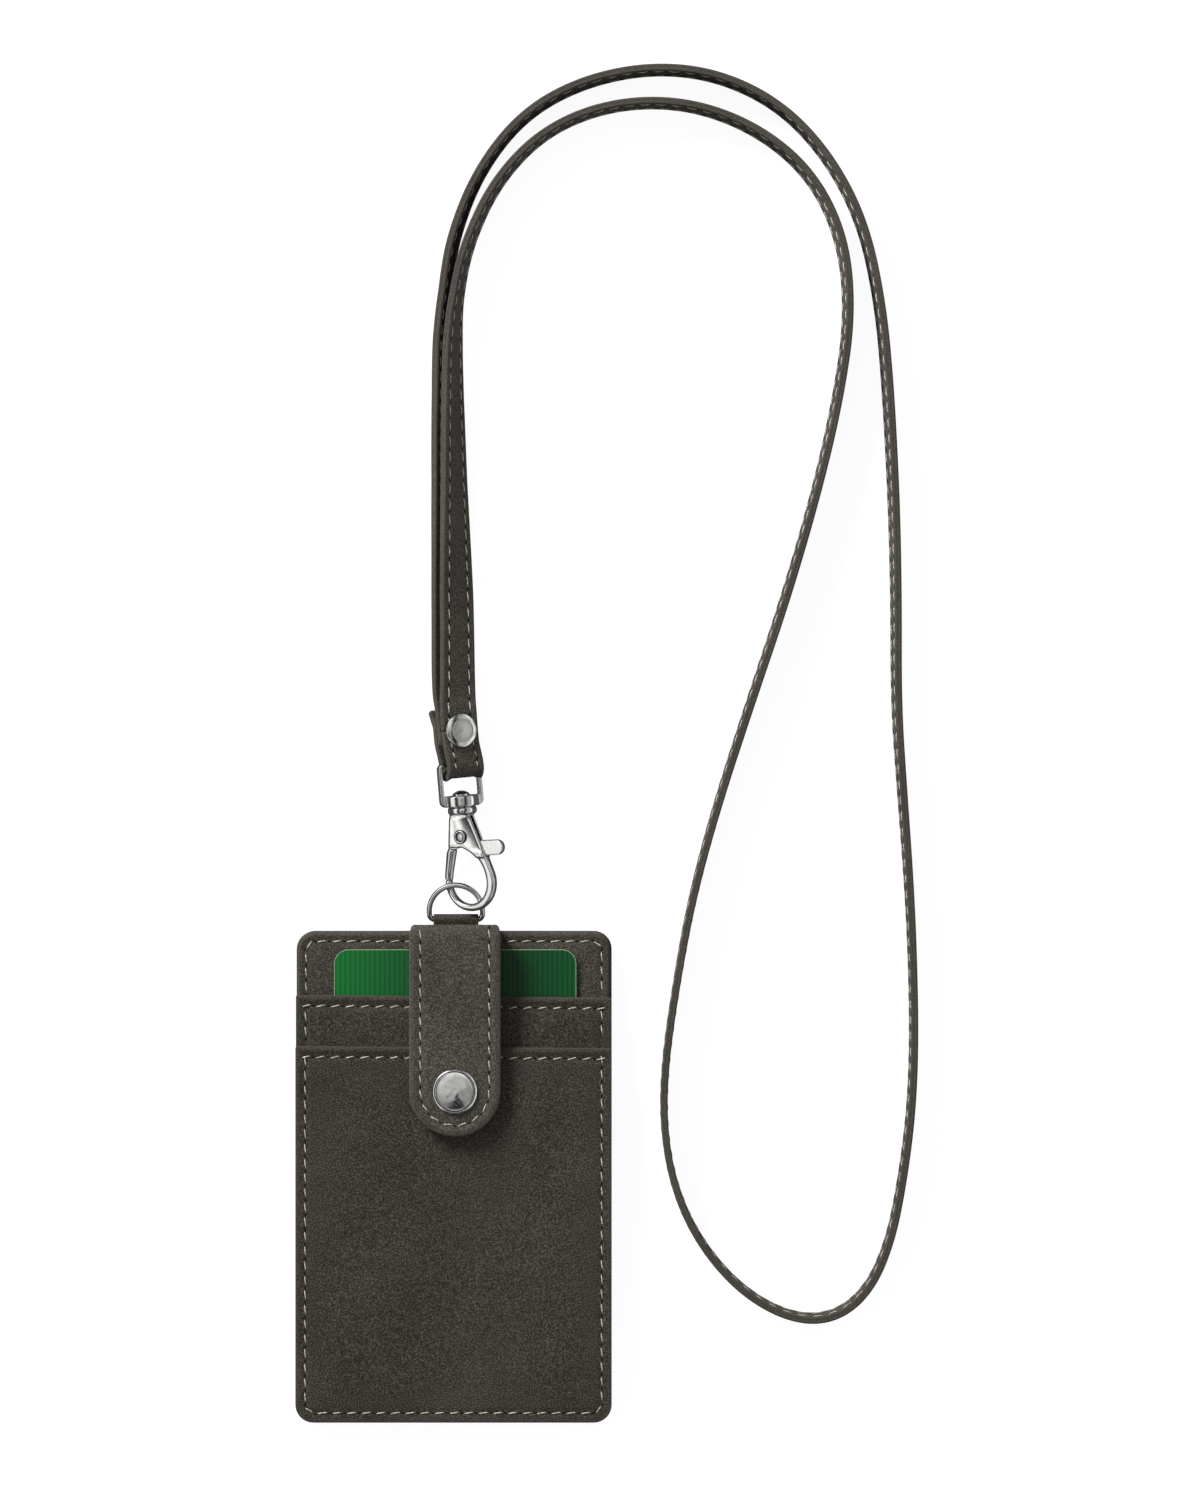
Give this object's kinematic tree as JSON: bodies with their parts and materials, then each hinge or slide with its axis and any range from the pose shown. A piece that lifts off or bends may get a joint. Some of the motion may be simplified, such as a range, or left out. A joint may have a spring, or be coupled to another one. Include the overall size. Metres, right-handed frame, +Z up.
{
  "type": "id badge wallet",
  "caption": "Flat badge wallet with card pockets, a snap flap, a ring, a swivel clasp and a long flat lanyard.",
  "frame": {"origin": "Middle of the wallet's back face, on the table the wallet lies on.", "axes": "+Z points up out of the wallet's front, +Y along the wallet to its top edge and the clasp, +X to the right as seen from the front."},
  "size_m": [0.1386, 0.3023, 0.0122],
  "materials": {
    "cover_leather": "matt, finely grained, dark grey coated leather",
    "lining_leather": "matt, dark grey",
    "strap_leather": "matt, dark grey coated leather with plain cut edges",
    "clear_vinyl": "clear, glossy, soft sheet",
    "pulp_board": "grey pulp board",
    "card_plastic": "green printed card with fine upright stripes",
    "chromed_zinc": "polished, plated die casting",
    "chromed_steel": "polished, plated steel",
    "chromed_brass": "polished, plated brass sheet",
    "spring_steel": "bare spring strip"
  },
  "bodies": {
    "wallet": {"back_panel": "cover_leather", "id_window": "clear_vinyl", "back_hem": "cover_leather", "stiffener_board": "pulp_board", "lining": "lining_leather", "upper_pocket_hem": "cover_leather", "upper_pocket": "cover_leather", "front_pocket_hem": "cover_leather", "front_pocket": "cover_leather", "ring_loop": "cover_leather", "flap_root": "cover_leather", "snap_stud": "chromed_brass", "stud_eyelet": "chromed_brass"},
    "flap": {"flap_outer": "cover_leather", "flap_lining": "lining_leather", "snap_cap": "chromed_brass", "snap_socket": "chromed_brass"},
    "card": {"card": "card_plastic"},
    "ring": {"d_ring": "chromed_steel"},
    "hook": {"hook_body": "chromed_zinc", "gate_pin": "chromed_steel", "gate_spring": "spring_steel", "swivel_rivet": "chromed_steel"},
    "gate": {"gate_lever": "chromed_zinc"},
    "bail": {"clasp_bail": "chromed_steel"},
    "lanyard": {"strap_fold": "strap_leather", "strap_front_leg": "strap_leather", "strap_rear_leg": "strap_leather", "strap_loop": "strap_leather", "rivet_cap": "chromed_brass", "rivet_post": "chromed_brass"}
  },
  "joints": [
    {"name": "flap_fold", "type": "hinge", "parent": "wallet", "child": "flap", "pos_m": [0.0004, 0.0552, 0.01026], "axis": [-1, 0, 0], "range_deg": [0, 140]},
    {"name": "card_slide", "type": "slide", "parent": "wallet", "child": "card", "axis": [0, 1, 0], "range_m": [0, 0.0036]},
    {"name": "ring_tilt", "type": "hinge", "parent": "wallet", "child": "ring", "pos_m": [0.0004, 0.0572, 0.0025], "axis": [1, 0, 0], "range_deg": [-60, 25]},
    {"name": "hook_swing", "type": "hinge", "parent": "ring", "child": "hook", "pos_m": [0.0004, 0.05911, 0.00291], "axis": [0, -0.2079, 0.9781], "range_deg": [-10, 10]},
    {"name": "gate_press", "type": "hinge", "parent": "hook", "child": "gate", "pos_m": [0.00235, 0.07584, 0.00446], "axis": [-0.5257, -0.0729, 0.8475], "range_deg": [0, 14], "stiffness_Nm_per_rad": 0.05, "springref_deg": -11.46, "deforming": ["gate_spring"]},
    {"name": "swivel_turn", "type": "hinge", "parent": "hook", "child": "bail", "pos_m": [0.00179, 0.08261, 0.0047], "axis": [-0.0819, 0.996, 0.0349], "range_deg": [-150, 150]},
    {"name": "strap_pivot", "type": "hinge", "parent": "bail", "child": "lanyard", "pos_m": [0.00103, 0.09187, 0.00502], "axis": [0.9021, 0.089, -0.4224], "range_deg": [-25, 25]}
  ]
}
